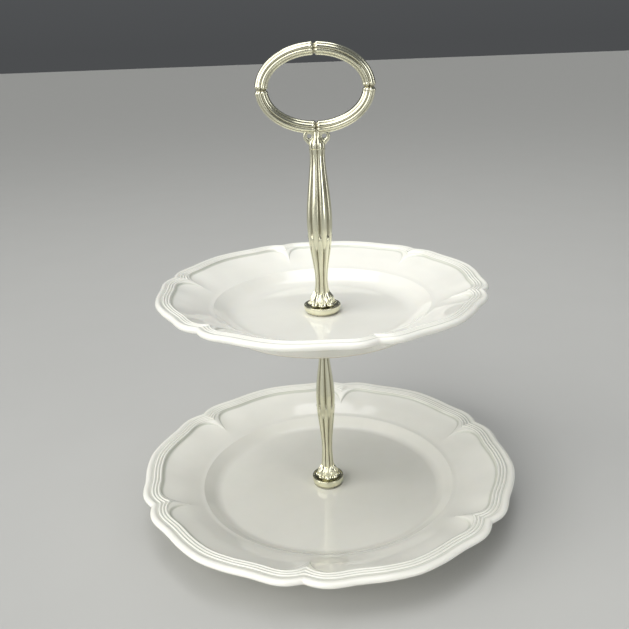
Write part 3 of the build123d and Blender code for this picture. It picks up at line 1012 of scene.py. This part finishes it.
def ring_tree():
    """Sweeps a reeded tube round an oval, notched across at its four quarter points."""
    sizes = {
        "Half Width": RING_HALF_WIDTH * MM, "Half Height": RING_HALF_HEIGHT * MM,
        "Tube": RING_TUBE_RADIUS * MM, "Centre": 0.28, "Depth": 0.2,
        "Notch": NOTCH_DEPTH_SHARE, "Notch Width": NOTCH_WIDTH * MM,
    }
    tree = new_tree("Reeded oval ring", sizes)
    given = add(tree, "NodeGroupInput").node.outputs
    oval = add(tree, "GeometryNodeCurvePrimitiveCircle", {"Resolution": 480, "Radius": 1.0})
    size = add(tree, "ShaderNodeCombineXYZ", given["Half Width"], given["Half Height"], 1.0)
    oval = add(tree, "GeometryNodeTransform", {"Geometry": oval, "Scale": size})
    oval = add(
        tree, "GeometryNodeTransform", {"Geometry": oval, "Rotation": (math.pi / 2, 0.0, 0.0)}
    )
    spot = add(tree, "GeometryNodeInputPosition")
    held = add(tree, "GeometryNodeStoreNamedAttribute",
               {"Geometry": oval, "Name": "middle", "Value": spot}, data_type="FLOAT_VECTOR")
    loop = add(tree, "GeometryNodeCurvePrimitiveCircle", {"Resolution": 96, "Radius": given["Tube"]})
    tube = add(tree, "GeometryNodeCurveToMesh", {"Curve": held, "Profile Curve": loop})
    middle = add(tree, "GeometryNodeInputNamedAttribute", {"Name": "middle"}, data_type="FLOAT_VECTOR")
    arm = add(tree, "ShaderNodeVectorMath", spot, middle, operation="SUBTRACT")
    arm_y = add(tree, "ShaderNodeSeparateXYZ", arm).node.outputs["Y"]
    flat = add(tree, "ShaderNodeCombineXYZ", given["Half Width"], 1.0, given["Half Height"])
    lean = add(tree, "ShaderNodeVectorMath", middle, flat, operation="DIVIDE")
    lean = add(tree, "ShaderNodeVectorMath", lean, flat, operation="DIVIDE")
    lean = add(tree, "ShaderNodeVectorMath", lean, operation="NORMALIZE")
    outward = add(tree, "ShaderNodeVectorMath", arm, lean, operation="DOT_PRODUCT")
    outward = outward.node.outputs["Value"]
    around = add(tree, "ShaderNodeMath", arm_y, outward, operation="ARCTAN2")
    phase = add(tree, "ShaderNodeMath", around, 4.0, operation="MULTIPLY")
    crown = add(tree, "ShaderNodeMath", phase, operation="SINE")
    crown = add(tree, "ShaderNodeMath", crown, operation="ABSOLUTE")
    hollow = add(tree, "ShaderNodeMath", 1.0, crown, operation="SUBTRACT")
    hollow = add(tree, "ShaderNodeMath", hollow, 1.5, operation="POWER")
    # The grooves at the front and back are deepest, and the outermost reed is left nearly whole.
    side = add(tree, "ShaderNodeMath", around, operation="SINE")
    side = add(tree, "ShaderNodeMath", side, operation="ABSOLUTE")
    side = add(tree, "ShaderNodeMapRange", side, 0.0, 1.0, 0.12, 1.0)
    hollow = add(tree, "ShaderNodeMath", hollow, side, operation="MULTIPLY")
    cut = add(tree, "ShaderNodeMath", hollow, given["Depth"], operation="MULTIPLY")
    far = add(tree, "ShaderNodeVectorMath", middle, operation="ABSOLUTE")
    far_x = add(tree, "ShaderNodeSeparateXYZ", far)
    nearest = add(tree, "ShaderNodeMath", far_x, far_x.node.outputs["Z"], operation="MINIMUM")
    share = add(tree, "ShaderNodeMath", nearest, given["Notch Width"], operation="DIVIDE")
    vee = add(tree, "ShaderNodeMath", 1.0, share, operation="SUBTRACT", use_clamp=True)
    notch = add(tree, "ShaderNodeMath", vee, given["Notch"], operation="MULTIPLY")
    # A low bead stands up on each side of a notch.
    off = add(tree, "ShaderNodeMath", share, 1.55, operation="SUBTRACT")
    off = add(tree, "ShaderNodeMath", off, 0.45, operation="DIVIDE")
    off = add(tree, "ShaderNodeMath", off, 2.0, operation="POWER")
    off = add(tree, "ShaderNodeMath", off, -1.0, operation="MULTIPLY")
    bead = add(tree, "ShaderNodeMath", off, operation="EXPONENT")
    cut = add(tree, "ShaderNodeMath", cut, notch, operation="ADD")
    kept = add(tree, "ShaderNodeMath", 0.985, cut, operation="SUBTRACT")
    kept = add(tree, "ShaderNodeMath", bead, 0.03, kept, operation="MULTIPLY_ADD")
    arm = add(tree, "ShaderNodeVectorMath", arm, {"Scale": kept}, operation="SCALE")
    place = add(tree, "ShaderNodeVectorMath", middle, arm, operation="ADD")
    # Painted shade with tarnishing: the silver is darkened in the grooves and fully in the notches.
    dark = add(tree, "ShaderNodeMath", hollow, 1.2, operation="POWER")
    dark = add(tree, "ShaderNodeMath", dark, vee, operation="MAXIMUM")
    stored = add(tree, "GeometryNodeStoreNamedAttribute",
                 {"Geometry": tube, "Name": "groove", "Value": dark}, domain="POINT")
    moved = add(tree, "GeometryNodeSetPosition", {"Geometry": stored, "Position": place})
    up = add(tree, "ShaderNodeCombineXYZ", 0.0, 0.0, given["Centre"])
    moved = add(tree, "GeometryNodeTransform", {"Geometry": moved, "Translation": up})
    smooth = add(tree, "GeometryNodeSetShadeSmooth", moved)
    return end_tree(tree, joined(tree, smooth, given["Geometry"]), given)


def scroll_band(side, bottom):
    """One pierced volute: a band that leaves the neck, flares out and curls round on itself."""
    path = [(3.3, 0.6), (3.9, 2.4), (5.1, 3.9)]
    start = math.radians(-50)
    for step in range(SCROLL_TURN_STEPS):
        angle = start + math.radians(15 * step)
        radius = 2.7 - 0.022 * step
        curl = Vector((math.cos(angle), math.sin(angle))) * radius
        path.append((SCROLL_OFFSET + curl.x, SCROLL_HEIGHT + curl.y))
    path = flowing(path, steps=3)
    section = rounded(((-1, -1, 0.42), (1, -1, 0.42), (1, 1, 0.42), (-1, 1, 0.42)), steps=3)
    vertices = []
    for at, (across, up) in enumerate(path):
        out = across_path(path, at)
        share = at / (len(path) - 1)
        thick = 1.2 - 0.4 * share
        width = SCROLL_WIDTH / 2 * (0.82 + 0.18 * math.sin(math.pi * min(1.0, share * 1.6)))
        for thickness, span in section:
            vertices.append(
                (
                    side * (across + out.x * thickness * thick) * MM,
                    span * width * MM,
                    (bottom + up + out.y * thickness * thick) * MM,
                )
            )
    faces = tube_faces(len(path), len(section))
    if side > 0:
        faces = [tuple(reversed(face)) for face in faces]
    return vertices, faces


class CAKESTAND_OT_ring(bpy.types.Operator):
    """Builds the oval carrying ring with its reeded tube, neck and two pierced scrolls"""

    bl_idname = "cakestand.ring"
    bl_label = "Ring Handle"

    def execute(self, context):
        sizes = context.scene.cake_stand_sizes
        finish = bpy.data.materials["Silver plate"]
        joint = low("ring_handle") + SPIGOT_LENGTH
        neck_top = RING_NECK_HEIGHT + RING_TUBE_RADIUS
        outline = [
            (0.0, -SPIGOT_LENGTH), (THREAD_RADIUS - 0.3, -SPIGOT_LENGTH),
            (THREAD_RADIUS, 0.3 - SPIGOT_LENGTH), (THREAD_RADIUS, -0.1), (THREAD_RADIUS, 0.0),
            (NECK_RADIUS, 0.0),
        ]
        neck = (
            (NECK_RADIUS, 0.0), (NECK_RADIUS, 2.0), (4.9, 3.6), (3.9, 5.2), (3.1, 6.6),
            (2.8, RING_NECK_HEIGHT), (2.6, neck_top),
        )
        outline += flowing(neck)[1:]
        outline += [(0.0, neck_top)]
        shell = turned(outline, COLUMN_SIDES, joint, closed=False)
        piece = new_piece("ring_handle_cast", *shell, sharp=50)
        reed(piece, sizes, finish, 0.0, joint - 3, joint + 12)
        scrolls = new_piece("scrolls", *merge(scroll_band(side, joint) for side in (-1, 1)), sharp=50)
        paint(scrolls, finish)
        with bpy.context.temp_override(active_object=piece, selected_editable_objects=[piece, scrolls]):
            bpy.ops.object.join()
        values = {
            "Half Width": RING_HALF_WIDTH * MM, "Half Height": RING_HALF_HEIGHT * MM,
            "Tube": RING_TUBE_RADIUS * MM, "Centre": (joint + neck_top + RING_HALF_HEIGHT) * MM,
            "Depth": sizes.ring_reed_depth, "Notch": NOTCH_DEPTH_SHARE,
            "Notch Width": NOTCH_WIDTH * MM, "Finish": finish,
        }
        shape_with(piece, ring_tree(), values)
        settle(piece, "handle", "silver_plate", "ring_handle")
        return {"FINISHED"}


# ---------------------------------------------------------------- collars, washers and gaskets


def collar_outline(radius, height):
    """Section of a collar: bowl-shaped side, bright narrow rim and a dished top."""
    return rounded(
        (
            (PASSAGE_RADIUS, 0.0, 0.2),
            (radius - 1.7, 0.0, 0.6),
            (radius - 0.35, height * 0.32, 1.5),
            (radius, height * 0.8, 1.0),
            (radius - 0.15, height, 0.28),
            (radius - 0.85, height, 0.25),
            (radius - 1.5, height - 0.7, 0.9),
            (DISH_FLOOR_RADIUS + 1.8, height - DISH_DEPTH, 2.0),
            (DISH_FLOOR_RADIUS - 0.8, height - DISH_DEPTH, 0),
            (PASSAGE_RADIUS, height - DISH_DEPTH, 0.2),
        ),
        steps=7,
    )


def flat_ring(outer, inner, thickness, rounding):
    """Section of a flat ring with softened edges."""
    corners = ((inner, 0), (outer, 0), (outer, thickness), (inner, thickness))
    return rounded([(*corner, rounding) for corner in corners], steps=4)


def hub_ring():
    """Section of a gasket whose hub fills a plate's hole."""
    top = GASKET_THICKNESS + HUB_LENGTH
    return rounded(
        (
            (PASSAGE_RADIUS, 0, 0.15), (GASKET_RADIUS, 0, 0.25), (GASKET_RADIUS, GASKET_THICKNESS, 0.25),
            (HUB_RADIUS, GASKET_THICKNESS, 0.1), (HUB_RADIUS, top, 0.3), (PASSAGE_RADIUS, top, 0.15),
        ),
        steps=4,
    )


def paint_shade_in_dish(collar, lip_height):
    """Paints shade and a dark reflection into the dished top of a collar, as a darkening the silver finish
    reads.
    """
    held = []
    for vertex in collar.data.vertices:
        across, up = math.hypot(vertex.co.x, vertex.co.y) / MM, vertex.co.z / MM
        in_dish = up > lip_height - DISH_DEPTH - 0.1 and across < DISH_RADIUS
        # Painted shade and dark reflection, fading out towards the dish's lip.
        held.append(DISH_PAINTED_SHADE * smoothstep((lip_height - 0.3 - up) / 0.5) if in_dish else 0.0)
    keep_shares(collar, "groove", held)


class CAKESTAND_OT_collars(bpy.types.Operator):
    """Builds the two dished collars and the support washer under the upper plate"""

    bl_idname = "cakestand.collars"
    bl_label = "Collars and Support Washer"

    def execute(self, context):
        finish = bpy.data.materials["Silver plate"]
        washer = flat_ring(WASHER_RADIUS, PASSAGE_RADIUS, SUPPORT_WASHER_THICKNESS, 0.35)
        parts = (
            ("lower_collar", collar_outline(LOWER_COLLAR_RADIUS, LOWER_COLLAR_HEIGHT), "stem"),
            ("upper_collar", collar_outline(UPPER_COLLAR_RADIUS, UPPER_COLLAR_HEIGHT), "upper_collar"),
            ("support_washer", washer, "stem"),
        )
        for node, outline, body in parts:
            piece = new_piece(f"{node}_plated", *turned(outline, COLLAR_SIDES, low(node)), sharp=60)
            if node != "support_washer":
                paint_shade_in_dish(piece, high(node))
            paint(piece, finish)
            settle(piece, body, "silver_plate", node)
        return {"FINISHED"}


class CAKESTAND_OT_gaskets(bpy.types.Operator):
    """Builds the four soft gaskets that keep metal off the porcelain"""

    bl_idname = "cakestand.gaskets"
    bl_label = "Clear Gaskets"

    def execute(self, context):
        finish = clear_vinyl(context.scene.cake_stand_colours)
        loose = flat_ring(GASKET_RADIUS, PASSAGE_RADIUS, GASKET_THICKNESS, 0.25)
        snug = flat_ring(GASKET_RADIUS, BORE_RADIUS, GASKET_THICKNESS, 0.25)
        parts = (
            ("base_gasket", hub_ring(), "base_washer"),
            ("support_gasket", hub_ring(), "stem"),
            ("lower_collar_gasket", loose, "stem"),
            ("upper_collar_gasket", snug, "upper_collar"),
        )
        for node, outline, body in parts:
            piece = new_piece(f"{node}_vinyl", *turned(outline, WASHER_SIDES, low(node)), sharp=60)
            paint(piece, finish)
            settle(piece, body, "clear_gasket", node)
        return {"FINISHED"}


# ---------------------------------------------------------------- screw, stud and washer


def thread_tree():
    """Cuts a right-handed screw thread into the part of a turned rod between two heights."""
    sizes = {"Pitch": 0.0008, "Depth": 0.0004, "Crest": 0.00245, "Bottom": 0.0, "Top": 0.02}
    tree = new_tree("Screw thread", sizes)
    given = add(tree, "NodeGroupInput").node.outputs
    x, y, z, turn = round_axis(tree)
    turn = add(tree, "ShaderNodeMath", turn, math.tau, operation="DIVIDE")
    climb = add(tree, "ShaderNodeMath", z, given["Pitch"], operation="DIVIDE")
    phase = add(tree, "ShaderNodeMath", climb, turn, operation="SUBTRACT")
    wave = add(tree, "ShaderNodeMath", phase, 0.5, operation="PINGPONG")
    wave = add(tree, "ShaderNodeMapRange", wave, 0.06, 0.44, 0.0, 1.0)
    reach = between(tree, z, given, THREAD_PITCH * MM)
    cut = add(tree, "ShaderNodeMath", wave, reach, operation="MULTIPLY")
    cut = add(tree, "ShaderNodeMath", cut, given["Depth"], operation="MULTIPLY")
    share = add(tree, "ShaderNodeMath", cut, given["Crest"], operation="DIVIDE")
    kept = add(tree, "ShaderNodeMath", 1.0, share, operation="SUBTRACT")
    place = drawn_in(tree, x, y, z, kept)
    moved = add(tree, "GeometryNodeSetPosition", {"Geometry": given["Geometry"], "Position": place})
    return end_tree(tree, moved, given)


def rod_side(bottom, top):
    """Side of a threaded rod, with eight rings for each turn of its thread."""
    rings = int((top - bottom) / (THREAD_PITCH / 8))
    return [(THREAD_RADIUS, bottom + (top - bottom) * at / rings) for at in range(rings + 1)]


def rod_end(length):
    """Chamfered upper end of a threaded rod."""
    return [(THREAD_RADIUS - ROD_CHAMFER, length), (0.0, length)]


class CAKESTAND_OT_hardware(bpy.types.Operator):
    """Builds the threaded stud, the slotted base screw and the base washer"""

    bl_idname = "cakestand.hardware"
    bl_label = "Stud, Screw and Washer"

    def execute(self, context):
        finish = zinc_steel(context.scene.cake_stand_colours)
        base = low("upper_stud")
        length = high("upper_stud") - base
        outline = [(0.0, 0.0), (THREAD_RADIUS - ROD_CHAMFER, 0.0)]
        outline += rod_side(ROD_CHAMFER, length - ROD_CHAMFER) + rod_end(length)
        shell = turned(outline, STUD_SIDES, base, closed=False)
        stud = new_piece("upper_stud_steel", *shell, sharp=40)
        reach = {"Bottom": (base - 1) * MM, "Top": (base + length + 1) * MM}
        self.cut_thread(stud, reach, finish)
        settle(stud, "handle", "zinc_steel", "upper_stud")

        base = low("base_screw")
        length = high("base_screw") - base
        head = SCREW_HEAD_HEIGHT
        corners = (
            (0, 0, 0), (SCREW_HEAD_RADIUS, 0, 1.3), (SCREW_HEAD_RADIUS, head, 0.2),
            (THREAD_RADIUS, head, 0),
        )
        outline = rounded(corners, closed=False)
        outline += rod_side(head + 0.02, length - ROD_CHAMFER) + rod_end(length)
        shell = turned(outline, SCREW_SIDES, base, closed=False)
        screw = new_piece("base_screw_steel", *shell, sharp=40)
        reach = {"Bottom": (base + head + 1) * MM, "Top": (base + length + 1) * MM}
        self.cut_thread(screw, reach, finish)
        ends, walls = (-SCREW_HEAD_RADIUS - 2, SCREW_HEAD_RADIUS + 2), (-SLOT_WIDTH / 2, SLOT_WIDTH / 2)
        block = [
            (x * MM, y * MM, (base + z) * MM) for x in ends for y in walls for z in (-1, SLOT_DEPTH)
        ]
        sides = ((0, 1, 3, 2), (4, 6, 7, 5), (0, 4, 5, 1), (2, 3, 7, 6), (0, 2, 6, 4), (1, 5, 7, 3))
        slot = new_piece("slot", block, sides)
        slit = screw.modifiers.new("Slot", "BOOLEAN")
        slit.object = slot
        slit.operation = "DIFFERENCE"
        slit.solver = "EXACT"
        apply_modifiers(screw)
        bpy.data.objects.remove(slot)
        settle(screw, "base_screw", "zinc_steel", "base_screw")

        outline = flat_ring(WASHER_RADIUS, PASSAGE_RADIUS, BASE_WASHER_THICKNESS, 0.3)
        shell = turned(outline, WASHER_SIDES, low("base_washer"))
        disc = new_piece("base_washer_steel", *shell, sharp=60)
        paint(disc, finish)
        settle(disc, "base_washer", "zinc_steel", "base_washer")
        return {"FINISHED"}

    def cut_thread(self, rod, reach, finish):
        """Runs the thread tree over a rod."""
        fixed = {"Pitch": THREAD_PITCH * MM, "Depth": THREAD_DEPTH * MM,
                 "Crest": THREAD_RADIUS * MM, "Finish": finish}
        shape_with(rod, thread_tree(), {**fixed, **reach})


# ---------------------------------------------------------------- stage


def soft_light(name, place, size, power, colour):
    """Large soft area light that faces the middle of the stand."""
    light = bpy.data.lights.new(name, "AREA")
    light.shape = "RECTANGLE"
    light.size, light.size_y = size
    light.energy = power
    light.color = colour
    lamp = bpy.data.objects.new(name, light)
    lamp.location = place
    lamp.rotation_euler = (Vector(LIGHT_AIM) - Vector(place)).to_track_quat("-Z", "Y").to_euler()
    lamp.visible_camera = False
    bpy.context.scene.collection.objects.link(lamp)


def wide_key():
    """Key light as wide as a soft box, from far off, so that it falls evenly on the whole floor."""
    light = bpy.data.lights.new("key light", "SUN")
    light.energy = KEY_STRENGTH
    light.angle = math.radians(KEY_SPREAD)
    light.color = KEY_COLOUR
    lamp = bpy.data.objects.new("key light", light)
    lamp.location = KEY_PLACE
    lamp.rotation_euler = Vector(KEY_PLACE).to_track_quat("Z", "Y").to_euler()
    bpy.context.scene.collection.objects.link(lamp)


def studio_surround():
    """Plain grey surround, darkest level with the floor's far edge and lighter overhead."""
    world = bpy.data.worlds.new("Studio surround")
    world.use_nodes = True
    tree = world.node_tree
    direction = add(tree, "ShaderNodeTexCoord").node.outputs["Generated"]
    rise = add(tree, "ShaderNodeSeparateXYZ", direction).node.outputs["Z"]
    share = add(tree, "ShaderNodeMapRange", rise, 0.0, 0.9, 0.0, 1.0)
    colour = add(
        tree, "ShaderNodeMix", {0: share, 6: linear(HORIZON), 7: linear(OVERHEAD)}, data_type="RGBA"
    ).node.outputs[2]
    back = tree.nodes["Background"]
    tree.links.new(colour, back.inputs["Color"])
    back.inputs["Strength"].default_value = SURROUND_STRENGTH
    return world


def fitted_camera():
    """Camera a little above the upper plate, looking down at the stand and slightly tilted."""
    lens = bpy.data.cameras.new("camera")
    lens.sensor_width = 36.0
    lens.lens = CAMERA_LENS
    lens.clip_start = 0.01
    camera = bpy.data.objects.new("camera", lens)
    bpy.context.scene.collection.objects.link(camera)
    down, aside, tilt = (math.radians(angle) for angle in (CAMERA_DOWN, CAMERA_ASIDE, CAMERA_TILT))
    level = Vector((math.sin(aside), math.cos(aside), 0.0))
    ahead = level * math.cos(down) - Vector((0, 0, math.sin(down)))
    right = ahead.cross(Vector((0, 0, 1))).normalized()
    up = right.cross(ahead)
    tilted_right = math.cos(tilt) * right + math.sin(tilt) * up
    tilted_up = -math.sin(tilt) * right + math.cos(tilt) * up
    turn = Matrix((tilted_right, tilted_up, -ahead)).transposed().to_4x4()
    camera.matrix_world = Matrix.Translation(CAMERA_PLACE) @ turn
    return camera


class CAKESTAND_OT_stage(bpy.types.Operator):
    """Sets the pale floor, the soft studio lights, the even surround and the camera"""

    bl_idname = "cakestand.stage"
    bl_label = "Stage"

    def execute(self, context):
        signs = ((-1, -1), (1, -1), (1, 1), (-1, 1))
        corners = [(x * FLOOR_REACH, y * FLOOR_REACH, 0.0) for x, y in signs]
        floor = new_piece("floor", corners, [(0, 1, 2, 3)])
        paint(floor, pale_floor(context.scene.cake_stand_colours))
        wide_key()
        for light in SOFT_LIGHTS:
            soft_light(*light)
        context.scene.world = studio_surround()
        context.scene.view_settings.view_transform = "Standard"
        context.scene.camera = fitted_camera()
        return {"FINISHED"}


# ---------------------------------------------------------------- add-on


class CAKESTAND_PT_panel(bpy.types.Panel):
    """Lists the stand's sizes, colours and building steps"""

    bl_label = "Cake Stand"
    bl_idname = "CAKESTAND_PT_panel"
    bl_space_type = "VIEW_3D"
    bl_region_type = "UI"
    bl_category = "Cake Stand"

    def draw(self, context):
        for group in (context.scene.cake_stand_sizes, context.scene.cake_stand_colours):
            for name in group.__annotations__:
                self.layout.prop(group, name)
        for step in STEPS:
            self.layout.operator(step.bl_idname)


STEPS = (
    CAKESTAND_OT_plates,
    CAKESTAND_OT_columns,
    CAKESTAND_OT_ring,
    CAKESTAND_OT_collars,
    CAKESTAND_OT_gaskets,
    CAKESTAND_OT_hardware,
    CAKESTAND_OT_stage,
)
CLASSES = (CakeStandSizes, CakeStandColours, *STEPS, CAKESTAND_PT_panel)


def register():
    for item in CLASSES:
        bpy.utils.register_class(item)
    bpy.types.Scene.cake_stand_sizes = bpy.props.PointerProperty(type=CakeStandSizes)
    bpy.types.Scene.cake_stand_colours = bpy.props.PointerProperty(type=CakeStandColours)


def unregister():
    del bpy.types.Scene.cake_stand_colours
    del bpy.types.Scene.cake_stand_sizes
    for item in reversed(CLASSES):
        bpy.utils.unregister_class(item)


def main():
    """Builds every piece in order."""
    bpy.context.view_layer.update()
    register()
    for step in STEPS:
        group, name = step.bl_idname.split(".")
        getattr(getattr(bpy.ops, group), name)()


if __name__ == "__main__":
    main()
